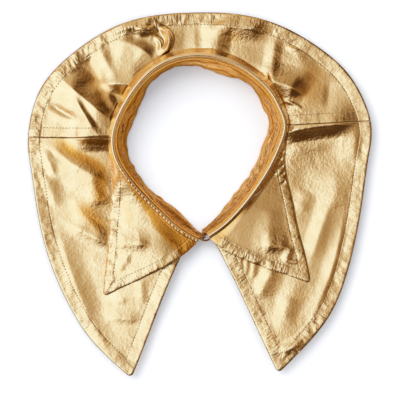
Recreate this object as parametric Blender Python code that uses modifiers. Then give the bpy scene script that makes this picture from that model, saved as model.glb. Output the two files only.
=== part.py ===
"""Detachable shirt collar in foil leather: a round back yoke and two pointed fronts that lie flat,
and a neck stand with a leaf that rolls over it. +Z is up, +Y is the back of the neck and the
origin is on the table under the middle of the collar."""

from collections import namedtuple

import bmesh
import bpy
import numpy as np
from mathutils import Vector

MM = 0.001

# Driving sizes, in millimetres.
WALL = 1.6  # two skins of leather, turned and stitched
SEAM_GAP = 0.3
STAND_RISE = 2.6  # how far the stand goes straight up before it leans out
STAND_TOP = 1.4  # and again at its top edge
ROLL_HALF = 1.4  # half the width inside the rolled edge
ROLL_DROP = 4.2  # how far the leaf's inner edge lies under the top of the roll
ROLL_CROWN = 1.2  # how far the roll's sides lie under its crest, inside
FALL_REACH = 20.0  # the leaf has come down to the panels this far out from the roll
LEAF_REST = 0.7  # the leaf's underside over the panels' tops
PANEL_STEPS = 13
STAND_STEPS = 4
ROLL_STEPS = 3
FALL_STEPS = 9
AROUND = {"front_left": 25, "back_yoke": 44, "front_right": 25, "neck_stand": 70, "collar_leaf": 70}
FRONT_BOW = {"left": -2.4, "right": 1.4}  # how far a front's inner edge bows sideways
LEAF_BOW = {"left": 3.5, "right": -4.0}  # and the leaf's front edge
BOW_FADE = 22.0  # a bow dies out this far round the neck
PANEL_FOLDS_START = 0.25  # the folds reach their height this share of the way to the rim
LEAF_FOLDS_START = 0.3
SHOULDER = {"left": "left_shoulder", "right": "right_shoulder"}

# One row for each cut from the neck to the rim, clockwise from the left front, in millimetres.
Section = namedtuple("Section", "name neck_x neck_y roll_x roll_y roll_z leaf_x leaf_y rim_x rim_y")
SECTIONS = [
    Section("left_closure", -2.5, -26.0, -1.0, -34.5, 11.5, -72.0, -77.0, -50.5, -137.0),
    Section("left_low", -12.0, -15.0, -13.5, -27.5, 12.5, -70.0, -56.5, -73.5, -116.0),
    Section("left_chest", -24.0, -5.0, -29.0, -14.0, 14.0, -68.0, -36.5, -93.5, -89.5),
    Section("left_middle", -37.0, 5.0, -43.0, 0.0, 16.5, -66.5, -16.0, -111.0, -51.5),
    Section("left_side", -47.0, 18.5, -54.5, 14.0, 20.0, -65.0, 3.5, -121.0, -12.5),
    Section("left_high", -52.0, 28.0, -62.0, 27.5, 22.0, -66.5, 23.5, -125.5, 17.5),
    Section("left_shoulder", -54.0, 41.5, -64.0, 42.5, 24.0, -67.0, 42.0, -128.0, 43.0),
    Section("back_165", -49.5, 53.5, -60.5, 56.0, 25.0, -64.5, 57.5, -121.5, 73.0),
    Section("back_150", -44.5, 65.5, -53.0, 70.5, 26.0, -57.5, 73.0, -102.5, 99.0),
    Section("back_135", -39.0, 78.5, -44.0, 83.0, 27.0, -48.5, 87.5, -78.5, 117.5),
    Section("back_120", -29.5, 89.5, -32.0, 94.0, 27.5, -35.0, 99.5, -53.0, 129.5),
    Section("back_90", -1.5, 96.0, -1.5, 103.0, 28.0, -1.5, 109.5, -1.5, 136.5),
    Section("back_75", 12.0, 91.6, 15.1, 100.8, 27.8, 16.4, 107.4, 24.5, 135.6),
    Section("back_60", 26.0, 87.5, 30.5, 94.5, 27.5, 33.5, 100.5, 50.0, 130.5),
    Section("back_45", 39.3, 81.3, 43.5, 85.5, 27.0, 48.0, 90.0, 75.0, 119.5),
    Section("back_30", 45.5, 70.0, 53.5, 75.0, 26.0, 58.0, 78.0, 99.0, 103.0),
    Section("back_15", 50.0, 60.5, 60.0, 63.0, 25.0, 64.5, 64.5, 117.5, 81.5),
    Section("right_shoulder", 52.0, 51.0, 63.5, 52.0, 24.0, 67.0, 52.0, 128.0, 55.0),
    Section("right_high", 49.0, 40.0, 60.5, 38.5, 22.0, 64.5, 31.5, 126.8, 29.5),
    Section("right_side", 43.5, 27.0, 53.5, 22.5, 20.0, 67.0, 9.5, 122.3, -2.0),
    Section("right_middle", 36.0, 13.0, 42.5, 4.5, 16.5, 71.0, -8.5, 115.8, -38.0),
    Section("right_chest", 26.0, 0.5, 29.0, -12.5, 14.0, 75.0, -28.0, 103.2, -79.0),
    Section("right_low", 15.5, -13.0, 16.5, -24.5, 12.5, 80.0, -47.5, 83.0, -109.0),
    Section("right_closure", 5.0, -24.0, 7.0, -31.0, 11.5, 84.0, -67.0, 59.0, -133.5),
]

# One row for each large fold that lifts the panels off the table, in millimetres.
Fold = namedtuple("Fold", "name x1 y1 x2 y2 half_width height")
PANEL_FOLDS = [
    Fold("crescent_upper", -37.0, 126.0, -25.0, 118.0, 9.0, 6.0),
    Fold("crescent_lower", -25.0, 118.0, -32.0, 108.0, 9.0, 5.0),
    Fold("left_back_sheet", -63.0, 117.0, -45.0, 109.0, 14.0, 4.5),
    Fold("left_back_ridge", -97.0, 81.0, -75.0, 62.0, 10.0, 5.5),
    Fold("left_back_crease", -112.0, 69.0, -98.0, 57.0, 8.0, 3.0),
    Fold("back_inner_ridge", 22.0, 124.0, 30.0, 111.0, 9.0, 3.5),
    Fold("back_right_ridge", 52.0, 117.0, 58.0, 97.0, 9.0, 4.5),
    Fold("right_back_ridge", 72.0, 110.0, 79.0, 90.0, 9.0, 4.5),
    Fold("right_back_wiggle", 75.0, 74.0, 85.0, 64.0, 8.0, 4.0),
    Fold("right_back_crease", 99.0, 84.0, 98.0, 67.0, 8.0, 3.0),
    Fold("right_under_seam", 80.0, 35.0, 112.0, 38.0, 9.0, 4.5),
    Fold("right_inner", 84.0, 6.0, 92.0, -30.0, 9.0, 3.0),
    Fold("right_outer", 107.0, 3.0, 96.0, -66.0, 9.0, 3.0),
    Fold("right_low", 86.0, -76.0, 72.0, -98.0, 8.0, 2.5),
    Fold("left_under_seam", -103.0, 30.0, -84.0, 16.0, 9.0, 4.5),
    Fold("left_outer", -104.0, -8.0, -97.0, -55.0, 9.0, 3.0),
    Fold("left_inner", -86.0, -20.0, -80.0, -62.0, 8.0, 2.5),
    Fold("left_low", -66.0, -94.0, -50.0, -94.0, 8.0, 2.5),
]
LEAF_FOLDS = [
    Fold("left_leaf_fold", -62.0, -30.0, -48.0, -50.0, 9.0, 3.0),
    Fold("left_leaf_roll", -44.0, -22.0, -26.0, -38.0, 9.0, 2.0),
    Fold("right_leaf_fold", 38.0, -26.0, 60.0, -36.0, 10.0, 2.5),
    Fold("right_leaf_outer", 62.0, 0.0, 68.0, -28.0, 8.0, 2.0),
]

# The closure, in millimetres: (x, y, z) along each wire. Each starts against its end of the roll.
WIRE = 1.1
EYE_ROUTE = [(5.5, -29.4, 9.6), (3.7, -28.7, 10.2), (2.1, -29.6, 10.2), (1.6, -31.4, 10.2),
             (2.6, -33.2, 10.2), (5.0, -34.1, 10.0), (7.9, -33.1, 9.6)]
HOOK_ROUTE = [(0.4, -32.8, 8.6), (2.0, -32.5, 8.3), (3.6, -32.0, 8.6), (4.4, -31.7, 10.2),
              (3.6, -31.5, 11.9), (1.4, -31.6, 12.2), (0.4, -31.9, 12.2)]


def arc_lengths(points):
    """How far round the neck each section lies, in millimetres."""
    steps = np.linalg.norm(np.diff(points, axis=0), axis=1)
    return np.concatenate([[0.0], np.cumsum(steps)])


def natural_spline(knots, values):
    """A smooth curve through values at knots, as a function of the distance round the neck."""
    count = len(knots)
    h = np.diff(knots)
    matrix = np.eye(count)
    right = np.zeros(count)
    for i in range(1, count - 1):
        matrix[i, i - 1:i + 2] = h[i - 1], 2 * (h[i - 1] + h[i]), h[i]
        right[i] = 6 * ((values[i + 1] - values[i]) / h[i] - (values[i] - values[i - 1]) / h[i - 1])
    bend = np.linalg.solve(matrix, right)

    def at(distance):
        i = int(np.clip(np.searchsorted(knots, distance) - 1, 0, count - 2))
        a = (knots[i + 1] - distance) / h[i]
        b = 1 - a
        curve = ((a ** 3 - a) * bend[i] + (b ** 3 - b) * bend[i + 1]) * h[i] ** 2 / 6
        return a * values[i] + b * values[i + 1] + curve

    return at


ROUND = arc_lengths(np.array([(s.roll_x, s.roll_y) for s in SECTIONS]))
LENGTH = ROUND[-1]
ALONG = {s.name: d for s, d in zip(SECTIONS, ROUND)}
CURVES = {
    column: natural_spline(ROUND, np.array([getattr(s, column) for s in SECTIONS]))
    for column in Section._fields[1:]
}


def plan(line, distance):
    """The plan point of a line (neck, roll, leaf or rim) at a distance round the neck."""
    return np.array([CURVES[line + "_x"](distance), CURVES[line + "_y"](distance)])


def outward(distance):
    """The plan direction away from the neck, square to the roll."""
    step = 0.5
    along = plan("roll", min(distance + step, LENGTH)) - plan("roll", max(distance - step, 0.0))
    along /= np.linalg.norm(along)
    return np.array([-along[1], along[0]])


def smooth_step(share):
    share = min(max(share, 0.0), 1.0)
    return share * share * (3 - 2 * share)


def ease_out(share):
    """From 0 to 1, steep at first and level at the end."""
    return smooth_step(share / 2 + 0.5) * 2 - 1


def bow_shape(share):
    """From 0 at both ends of a line to 1 at a third of its length."""
    return 27 / 4 * share * (1 - share) ** 2


def bowed(start, end, share, bows, distance):
    """A point on the line from start to end, bowed sideways near the closure."""
    point = start + (end - start) * share
    side = "left" if distance < LENGTH / 2 else "right"
    from_closure = min(distance, LENGTH - distance)
    amount = bows[side] * (1 - smooth_step(from_closure / BOW_FADE))
    across = np.array([-(end - start)[1], (end - start)[0]]) / np.linalg.norm(end - start)
    return point + across * amount * bow_shape(share)


def fold_height(folds, point):
    """How far the folds lift the cloth at a plan point. Folds that meet blend into each other."""
    cubes = 0.0
    for fold in folds:
        start = np.array([fold.x1, fold.y1])
        run = np.array([fold.x2, fold.y2]) - start
        share = np.clip(np.dot(point - start, run) / np.dot(run, run), 0.0, 1.0)
        away = np.linalg.norm(point - start - run * share) / fold.half_width
        if away < 1:
            cubes += (fold.height * (0.5 + 0.5 * np.cos(np.pi * away))) ** 3
    return cubes ** (1 / 3)


def panel_edge(distance):
    """Where a panel starts, outside the stand's foot."""
    return plan("neck", distance) + outward(distance) * (WALL + SEAM_GAP)


def panel_underside(distance, share):
    point = bowed(panel_edge(distance), plan("rim", distance), share, FRONT_BOW, distance)
    lift = fold_height(PANEL_FOLDS, point) * smooth_step(share / PANEL_FOLDS_START)
    return Vector((point[0], point[1], lift))


def stand_middle(distance, step):
    """The middle of the stand's wall: up at the neck seam, leaning out, and up again to the leaf."""
    foot = plan("neck", distance) + outward(distance) * WALL / 2
    head = plan("roll", distance) - outward(distance) * (ROLL_HALF + WALL / 2)
    top = CURVES["roll_z"](distance) - ROLL_DROP - SEAM_GAP
    lean = [(0.0, 0.0), (0.0, STAND_RISE), (0.5, (STAND_RISE + top - STAND_TOP) / 2),
            (1.0, top - STAND_TOP), (1.0, top)]
    out, height = lean[step]
    point = foot + (head - foot) * out
    return Vector((point[0], point[1], height))


def leaf_underside(distance, step):
    """The leaf's underside: the rolled edge takes the first steps, and the fall the others."""
    roll = plan("roll", distance)
    away = outward(distance)
    top = CURVES["roll_z"](distance) - WALL
    rolled = [(-ROLL_HALF, WALL - ROLL_DROP), (-ROLL_HALF, -ROLL_CROWN), (0.0, 0.0),
              (ROLL_HALF, -ROLL_CROWN)]
    if step <= ROLL_STEPS:
        aside, drop = rolled[step]
        point = roll + away * aside
        return Vector((point[0], point[1], top + drop))
    start = roll + away * ROLL_HALF
    share = (step - ROLL_STEPS) / FALL_STEPS
    point = bowed(start, plan("leaf", distance), share, LEAF_BOW, distance)
    whole = np.linalg.norm(plan("leaf", distance) - start)
    down = ease_out(share * whole / min(whole, FALL_REACH))
    rest = WALL + LEAF_REST + fold_height(PANEL_FOLDS, point)
    fold = fold_height(LEAF_FOLDS, point) * smooth_step(share / LEAF_FOLDS_START)
    height = (top - ROLL_CROWN) * (1 - down) + rest * down
    return Vector((point[0], point[1], max(height, rest) + fold))


def material(name, colour, roughness):
    made = bpy.data.materials.new(name)
    made.use_nodes = True
    shader = made.node_tree.nodes["Principled BSDF"]
    shader.inputs["Base Color"].default_value = (*colour, 1.0)
    shader.inputs["Metallic"].default_value = 1.0
    shader.inputs["Roughness"].default_value = roughness
    return made


def sheet(name, columns, rows, place, offset, finish):
    """A grid laid by place(column share, row share), then given the leather's thickness."""
    mesh = bpy.data.meshes.new(name)
    bm = bmesh.new()
    bmesh.ops.create_grid(bm, x_segments=columns, y_segments=rows, size=1.0)
    for vertex in bm.verts:
        vertex.co = place((vertex.co.x + 1) / 2, (vertex.co.y + 1) / 2) * MM
    bm.to_mesh(mesh)
    bm.free()
    mesh.materials.append(finish)
    mesh.shade_smooth()
    made = bpy.data.objects.new(name, mesh)
    collar.objects.link(made)
    wall = made.modifiers.new("wall", "SOLIDIFY")
    wall.thickness = WALL * MM
    wall.offset = offset
    wall.use_even_offset = True
    return made


def panel(name, start, end, finish):
    """A front or the yoke, between two places round the neck."""
    def place(column, row):
        return panel_underside(start + (end - start) * column, row)
    return sheet(name, AROUND[name], PANEL_STEPS, place, 1.0, finish)


def neck_stand(finish):
    def place(column, row):
        return stand_middle(LENGTH * column, round(row * STAND_STEPS))
    return sheet("neck_stand", AROUND["neck_stand"], STAND_STEPS, place, 0.0, finish)


def collar_leaf(finish):
    rows = ROLL_STEPS + FALL_STEPS

    def place(column, row):
        return leaf_underside(LENGTH * column, round(row * rows))
    return sheet("collar_leaf", AROUND["collar_leaf"], rows, place, 1.0, finish)


def wire(name, route, finish):
    """A bent wire through the route's points."""
    curve = bpy.data.curves.new(name, "CURVE")
    curve.dimensions = "3D"
    curve.bevel_depth = WIRE / 2 * MM
    curve.bevel_resolution = 2
    curve.use_fill_caps = True
    spline = curve.splines.new("POLY")
    spline.points.add(len(route) - 1)
    for point, place in zip(spline.points, route):
        point.co = (*(Vector(place) * MM), 1.0)
    curve.materials.append(finish)
    made = bpy.data.objects.new(name, curve)
    collar.objects.link(made)
    return made


for old in list(bpy.data.objects):
    bpy.data.objects.remove(old)
collar = bpy.data.collections.new("detachable shirt collar")
bpy.context.scene.collection.children.link(collar)

gold = material("foil leather", (0.83, 0.60, 0.30), 0.3)
gold_inside = material("foil leather, inside", (0.72, 0.46, 0.20), 0.4)
brass = material("brass wire", (0.72, 0.45, 0.20), 0.3)

left_seam = ALONG[SHOULDER["left"]]
right_seam = ALONG[SHOULDER["right"]]
panel("front_left", 0.0, left_seam - SEAM_GAP / 2, gold)
panel("back_yoke", left_seam + SEAM_GAP / 2, right_seam - SEAM_GAP / 2, gold)
panel("front_right", right_seam + SEAM_GAP / 2, LENGTH, gold)
neck_stand(gold_inside)
collar_leaf(gold)
wire("eye", EYE_ROUTE, brass)
wire("hook", HOOK_ROUTE, brass)
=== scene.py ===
"""The detachable collar as it looks: gold foil leather, crinkled and topstitched, laid flat on a white
table and seen from straight above. Every size is in millimetres until a mesh is written in metres."""

from collections import namedtuple

import bmesh
import bpy
import numpy as np
from mathutils import Matrix, Vector
from mathutils.bvhtree import BVHTree


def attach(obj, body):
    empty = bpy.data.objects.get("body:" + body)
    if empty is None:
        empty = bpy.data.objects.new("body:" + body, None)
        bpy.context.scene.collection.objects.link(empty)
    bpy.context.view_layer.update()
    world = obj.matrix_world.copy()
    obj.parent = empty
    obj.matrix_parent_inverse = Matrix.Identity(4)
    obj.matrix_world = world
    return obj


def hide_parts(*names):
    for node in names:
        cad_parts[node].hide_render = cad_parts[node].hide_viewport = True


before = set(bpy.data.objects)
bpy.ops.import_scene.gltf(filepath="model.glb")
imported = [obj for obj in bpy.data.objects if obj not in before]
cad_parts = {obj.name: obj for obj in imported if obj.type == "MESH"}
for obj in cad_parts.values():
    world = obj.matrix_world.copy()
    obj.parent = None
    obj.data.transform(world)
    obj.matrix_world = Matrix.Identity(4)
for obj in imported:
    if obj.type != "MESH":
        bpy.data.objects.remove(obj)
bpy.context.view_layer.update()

MM = 0.001

# The construction's sizes, as the solids have them.
WALL = 1.6
SEAM_GAP = 0.3
STAND_RISE = 2.6
STAND_TOP = 1.4
ROLL_HALF = 1.4
ROLL_DROP = 4.2
FRONT_BOW = {"left": -2.4, "right": 1.4}
LEAF_BOW = {"left": 3.5, "right": -4.0}
BOW_FADE = 22.0

# The finish's sizes.
SKIN = 1.1  # the leather shown: two thin skins
PANEL_TOP = 2.9  # the panels' upper face over the table, before any fold
SIDE_RISE = 3.2  # and how much higher it lies beside the neck, at the sides
LEAF_UP = 1.7  # the leaf's upper face over the panels'
LEAF_SLOPE = 4.2  # how much higher the leaf lies beside the roll than at its edge
FALLS = [9.0, 12.0, 20.0, 8.0, 5.0, 5.0, 3.6, 3.2, 6.0]  # how far out the leaf falls, left end to right
EDGE_ROUND = 1.5  # how wide the panels' turned edge is
LEAF_ROUND = 2.0  # and the leaf's
EDGE_DROP = 0.3  # how far a turned edge comes down
PANEL_TIP = 3.0  # radius of the fronts' points
LEAF_TIP = 2.4  # and the leaf's
RIM_STITCH = 9.0  # topstitching in from the panels' edges
SEAM_STITCH = 7.5  # and back from the shoulder seams
LEAF_STITCH = 6.6  # and in from the leaf's edges
GROOVE_DEEP = 0.1  # how far a row of stitches sinks
GROOVE_WIDE = 0.8
STITCH_LONG = 1.3
STITCH_THICK = 0.55
STITCH_PITCH = 2.4
CORD_PITCH = 3.0  # the twist that shows along the roll on the left front
CORD_DEEP = 0.26
GRAIN_DEEP = 0.012
CRUMPLE_DEEP = 0.4
PUCKER_DEEP = 0.68
PAINTED_HIGHLIGHT = (0.95, 0.75, 0.44)  # the foil's paler colour for painted highlight, on the roll's crest and the stand's lit places
FOLD_SHADE_COLOUR = (0.90, 0.48, 0.085)  # and its deeper colour for painted shade, in the folds and beside the roll
EDGE_LINE_COLOUR = (0.33, 0.25, 0.17)  # and in a thin dark line along the panels' outer edge
STAND_REACH = 3.6  # how far the stand runs on past each end of the roll, behind the hook and eye

# The roll across, from inside the stand to where the leaf falls: aside of its crest, and under it.
Turn = namedtuple("Turn", "aside drop")
ROLL_TURN = [
    Turn(-3.15, 4.6),
    Turn(-3.1, 3.3),
    Turn(-2.85, 2.3),
    Turn(-2.35, 1.8),
    Turn(-1.9, 2.2),
    Turn(-1.55, 2.7),
    Turn(-1.25, 1.2),
    Turn(-0.85, 0.3),
    Turn(-0.1, 0.0),
    Turn(0.7, 0.25),
    Turn(1.05, 0.8),
    Turn(1.4, 1.9),
    Turn(1.8, 2.7),
]
ROLL_ROWS = 0.28  # the share of the leaf's rows that the roll takes

# One row for each cut from the neck to the rim, clockwise from the left front.
Section = namedtuple("Section", "name neck_x neck_y roll_x roll_y roll_z leaf_x leaf_y rim_x rim_y")
SECTIONS = [
    Section("left_closure", -2.5, -26.0, -1.0, -34.5, 11.5, -72.0, -77.0, -50.5, -137.0),
    Section("left_low", -12.0, -15.0, -13.5, -27.5, 12.5, -70.0, -56.5, -73.5, -116.0),
    Section("left_chest", -24.0, -5.0, -29.0, -14.0, 14.0, -68.0, -36.5, -93.5, -89.5),
    Section("left_middle", -37.0, 5.0, -43.0, 0.0, 16.5, -66.5, -16.0, -111.0, -51.5),
    Section("left_side", -47.0, 18.5, -54.5, 14.0, 20.0, -65.0, 3.5, -121.0, -12.5),
    Section("left_high", -52.0, 28.0, -62.0, 27.5, 22.0, -66.5, 23.5, -125.5, 17.5),
    Section("left_shoulder", -54.0, 41.5, -64.0, 42.5, 24.0, -67.0, 42.0, -128.0, 43.0),
    Section("back_165", -49.5, 53.5, -60.5, 56.0, 25.0, -64.5, 57.5, -121.5, 73.0),
    Section("back_150", -44.5, 65.5, -53.0, 70.5, 26.0, -57.5, 73.0, -102.5, 99.0),
    Section("back_135", -39.0, 78.5, -44.0, 83.0, 27.0, -48.5, 87.5, -78.5, 117.5),
    Section("back_120", -29.5, 89.5, -32.0, 94.0, 27.5, -35.0, 99.5, -53.0, 129.5),
    Section("back_90", -1.5, 96.0, -1.5, 103.0, 28.0, -1.5, 109.5, -1.5, 136.5),
    Section("back_75", 12.0, 91.6, 15.1, 100.8, 27.8, 16.4, 107.4, 24.5, 135.6),
    Section("back_60", 26.0, 87.5, 30.5, 94.5, 27.5, 33.5, 100.5, 50.0, 130.5),
    Section("back_45", 39.3, 81.3, 43.5, 85.5, 27.0, 48.0, 90.0, 75.0, 119.5),
    Section("back_30", 45.5, 70.0, 53.5, 75.0, 26.0, 58.0, 78.0, 99.0, 103.0),
    Section("back_15", 50.0, 60.5, 60.0, 63.0, 25.0, 64.5, 64.5, 117.5, 81.5),
    Section("right_shoulder", 52.0, 51.0, 63.5, 52.0, 24.0, 67.0, 52.0, 128.0, 55.0),
    Section("right_high", 49.0, 40.0, 60.5, 38.5, 22.0, 64.5, 31.5, 126.8, 29.5),
    Section("right_side", 43.5, 27.0, 53.5, 22.5, 20.0, 67.0, 9.5, 122.3, -2.0),
    Section("right_middle", 36.0, 13.0, 42.5, 4.5, 16.5, 71.0, -8.5, 115.8, -38.0),
    Section("right_chest", 26.0, 0.5, 29.0, -12.5, 14.0, 75.0, -28.0, 103.2, -79.0),
    Section("right_low", 15.5, -13.0, 16.5, -24.5, 12.5, 80.0, -47.5, 83.0, -109.0),
    Section("right_closure", 5.0, -24.0, 7.0, -31.0, 11.5, 84.0, -67.0, 59.0, -133.5),
]

# One row for each fold. It runs from 1 to 2, bowed to the left of that way by bow, rises to height,
# and comes down over left and right. A trough has a negative height, and crest is how round its top is.
Fold = namedtuple("Fold", "name x1 y1 x2 y2 bow left right height crest")
PANEL_FOLDS = [
    # Back yoke, left half
    Fold("bright_ridge", -110.2, 94.3, -60.8, 52.3, -1.5, 18.0, 25.5, 5.6, 0.6),
    Fold("ridge_line", -95.2, 77.1, -75.0, 44.1, -0.8, 4.5, 18.0, 2.2, 0.5),
    Fold("left_crease", -113.2, 71.1, -89.2, 56.1, -2.2, 5.2, 5.2, -1.5, 0.6),
    Fold("left_low_wave", -111.8, 62.8, -92.2, 53.8, 0.0, 4.5, 5.2, 0.8, 2.0),
    Fold("valley", -86.2, 107.1, -69.8, 80.1, 0.0, 11.2, 19.5, -2.4, 2.5),
    Fold("valley_bank", -74.2, 113.1, -68.2, 83.1, 0.0, 8.2, 10.5, 0.9, 2.5),
    Fold("sheet_arc", -69.8, 113.8, -32.2, 97.3, 6.8, 8.2, 25.5, 2.4, 0.8),
    Fold("back_tan", -23.2, 125.1, -21.8, 104.1, 0.0, 12.0, 3.0, 0.9, 2.0),
    Fold("back_soft", 1.5, 129.6, 3.0, 105.6, 0.0, 6.8, 6.0, -0.6, 3.0),
    Fold("hollow_bank", -69.8, 119.1, -26.2, 130.3, 1.5, 15.0, 10.5, 2.8, 0.6),
    Fold("hollow_deep", -50.2, 123.6, -29.2, 123.6, 0.0, 4.5, 11.2, 2.4, 0.8),
    Fold("pocket_outer_rim", -32.2, 127.3, -31.5, 103.3, 9.8, 3.8, 3.8, 3.4, 0.8),
    Fold("pocket_inner_rim", -34.5, 118.3, -31.5, 105.6, 4.5, 3.0, 3.0, 1.6, 0.6),
    Fold("yoke_crease", -75.8, 83.4, -36.8, 81.6, 0.0, 21.0, 9.0, 4.0, 0.4),
    Fold("patch_bump", -69.8, 78.6, -61.5, 62.1, 0.0, 4.5, 6.0, 0.8, 1.5),
    # Back yoke, right half
    Fold("back_bright", 14.2, 132.6, 12.0, 101.1, 0.0, 11.2, 25.5, 2.4, 6.0),
    Fold("back_top_edge", 8.2, 127.3, 54.8, 122.8, 0.0, 18.0, 13.5, 3.6, 0.8),
    Fold("back_streak", 57.8, 120.6, 51.8, 80.1, 0.0, 6.8, 7.5, 1.1, 2.0),
    Fold("back_fan", 68.2, 114.6, 82.5, 78.6, 2.2, 24.0, 15.0, 1.0, 2.5),
    Fold("back_spot", 65.2, 110.8, 75.8, 107.8, 0.0, 2.2, 3.8, 0.9, 0.5),
    Fold("back_dark_corner", 42.8, 84.6, 80.2, 73.3, 3.8, 16.5, 15.0, 4.7, 1.2),
    Fold("roll_notch", 50.2, 92.1, 54.0, 77.1, 0.0, 3.0, 3.0, -1.5, 0.6),
    Fold("wiggle", 60.0, 70.3, 77.2, 63.6, 1.5, 2.2, 2.6, 0.8, 0.5),
    Fold("right_crease", 98.2, 87.6, 95.2, 61.3, 0.0, 6.8, 5.2, -0.35, 0.8),
    Fold("right_rim_wave", 114.8, 83.1, 108.8, 62.1, 0.0, 6.0, 9.0, 0.15, 3.0),
    # Right front
    Fold("under_seam", 47.2, 41.1, 125.2, 52.7, 3.8, 25.5, 10.5, 4.2, 0.5),
    Fold("under_seam_back", 116.2, 51.6, 114.8, 21.6, 0.0, 6.8, 16.5, 1.1, 4.0),
    Fold("right_wave", 63.8, 33.6, 98.2, 36.6, 0.0, 4.5, 6.0, 0.5, 2.0),
    Fold("right_middle_crest", 102.8, 23.1, 100.5, -14.4, 0.0, 19.5, 22.5, 1.2, 2.0),
    Fold("right_patch", 81.8, 3.6, 72.8, -12.9, 0.0, 9.0, 10.5, 0.8, 4.0),
    Fold("right_streak", 101.2, 0.6, 81.8, -54.9, -0.8, 13.5, 10.5, 1.3, 1.2),
    Fold("right_outer_streak", 108.8, -3.9, 75.0, -107.4, 6.8, 5.2, 9.0, 1.0, 0.8),
    Fold("right_below_leaf", 57.8, -50.4, 42.8, -78.9, 0.0, 12.0, 9.0, 1.7, 1.5),
    Fold("right_low_patch", 68.2, -74.4, 61.5, -93.9, 0.0, 10.5, 7.5, 0.9, 3.0),
    Fold("right_long", 75.8, -50.4, 57.8, -113.4, 0.0, 12.0, 13.5, 0.6, 4.0),
    Fold("right_tip_edge", 57.0, -118.7, 79.5, -108.2, 0.0, 6.8, 7.5, 2.0, 0.8),
    Fold("right_pucker_one", 30.8, -44.4, 30.8, -57.9, 0.0, 3.0, 3.0, 0.35, 1.5),
    Fold("right_pucker_two", 36.0, -45.9, 35.2, -60.2, 0.0, 3.0, 3.0, 0.45, 1.5),
    Fold("right_pucker_three", 42.0, -47.4, 39.8, -63.9, 0.0, 3.8, 3.8, 0.5, 1.5),
    # Left front
    Fold("left_under_seam", -101.2, 42.6, -47.2, 45.6, 0.0, 22.5, 12.8, 5.4, 0.5),
    Fold("left_upper_bright", -89.2, 36.6, -62.2, 32.1, 0.0, 4.5, 11.2, 0.4, 3.0),
    Fold("left_ridge", -122.2, 44.1, -65.2, 8.1, -3.0, 12.0, 18.0, 2.2, 1.0),
    Fold("left_ridge_line", -114.8, 36.6, -96.8, 20.1, 0.0, 3.8, 3.8, -0.5, 0.5),
    Fold("left_orange", -81.8, 20.1, -75.8, -11.4, 0.8, 16.5, 22.5, 1.5, 1.5),
    Fold("left_crinkle", -86.2, -3.9, -65.2, -6.2, 0.0, 9.0, 10.5, 0.5, 3.0),
    Fold("left_streak_one", -117.8, 35.1, -107.2, 14.1, 0.0, 6.0, 5.2, 1.1, 1.0),
    Fold("left_streak_two", -115.5, 18.6, -104.2, -9.9, -1.5, 10.5, 6.0, 1.1, 2.5),
    Fold("left_band", -96.8, -2.4, -66.8, -36.2, 0.0, 13.5, 10.5, 1.1, 1.2),
    Fold("left_dark_streak", -99.8, -20.4, -63.8, -39.2, 0.0, 12.0, 8.2, 2.2, 0.8),
    Fold("left_long", -107.2, -15.9, -63.8, -123.9, -5.2, 13.5, 9.0, 1.3, 1.2),
    Fold("left_low", -72.8, -91.7, -41.2, -93.2, 0.0, 9.8, 6.0, 0.9, 0.5),
    Fold("left_inner", -44.2, -60.9, -41.2, -83.4, 0.0, 5.2, 6.0, 0.5, 1.5),
    Fold("left_inner_low", -53.2, -78.9, -65.2, -78.9, 0.0, 3.8, 4.5, 0.4, 2.0),
]
# Painted shade in the folds: how much deeper the foil's colour is along a line, in the same way; its height is the
# painted light there, and below nought it is painted shade.
PANEL_PAINTED_SHADE = [
    Fold("left_seam_shade", -90.8, 39.6, -62.2, 39.6, 0.0, 4.5, 4.5, -0.9, 3.0),
    Fold("left_ridge_shade", -113.2, 45.6, -63.8, 17.1, -3.0, 7.5, 7.5, -1.0, 5.0),
    Fold("left_fold_shade", -73.5, 24.6, -72.8, -12.9, 0.0, 9.0, 9.0, -1.0, 5.0),
    Fold("left_band_shade", -92.2, -3.9, -66.8, -30.9, 0.0, 9.8, 8.2, -0.9, 5.0),
    Fold("yoke_crease_shade", -65.2, 77.1, -48.8, 77.1, 0.0, 6.0, 6.0, -0.9, 4.0),
    Fold("valley_shade", -87.8, 99.6, -65.2, 57.6, 0.0, 10.5, 9.0, -0.55, 6.0),
    Fold("right_fan_shade", 86.2, 102.6, 80.2, 62.1, 0.0, 13.5, 15.0, -0.5, 8.0),
    Fold("back_top_shade", 18.8, 123.6, 33.8, 116.1, 0.0, 6.0, 10.5, -0.5, 4.0),
]
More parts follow.
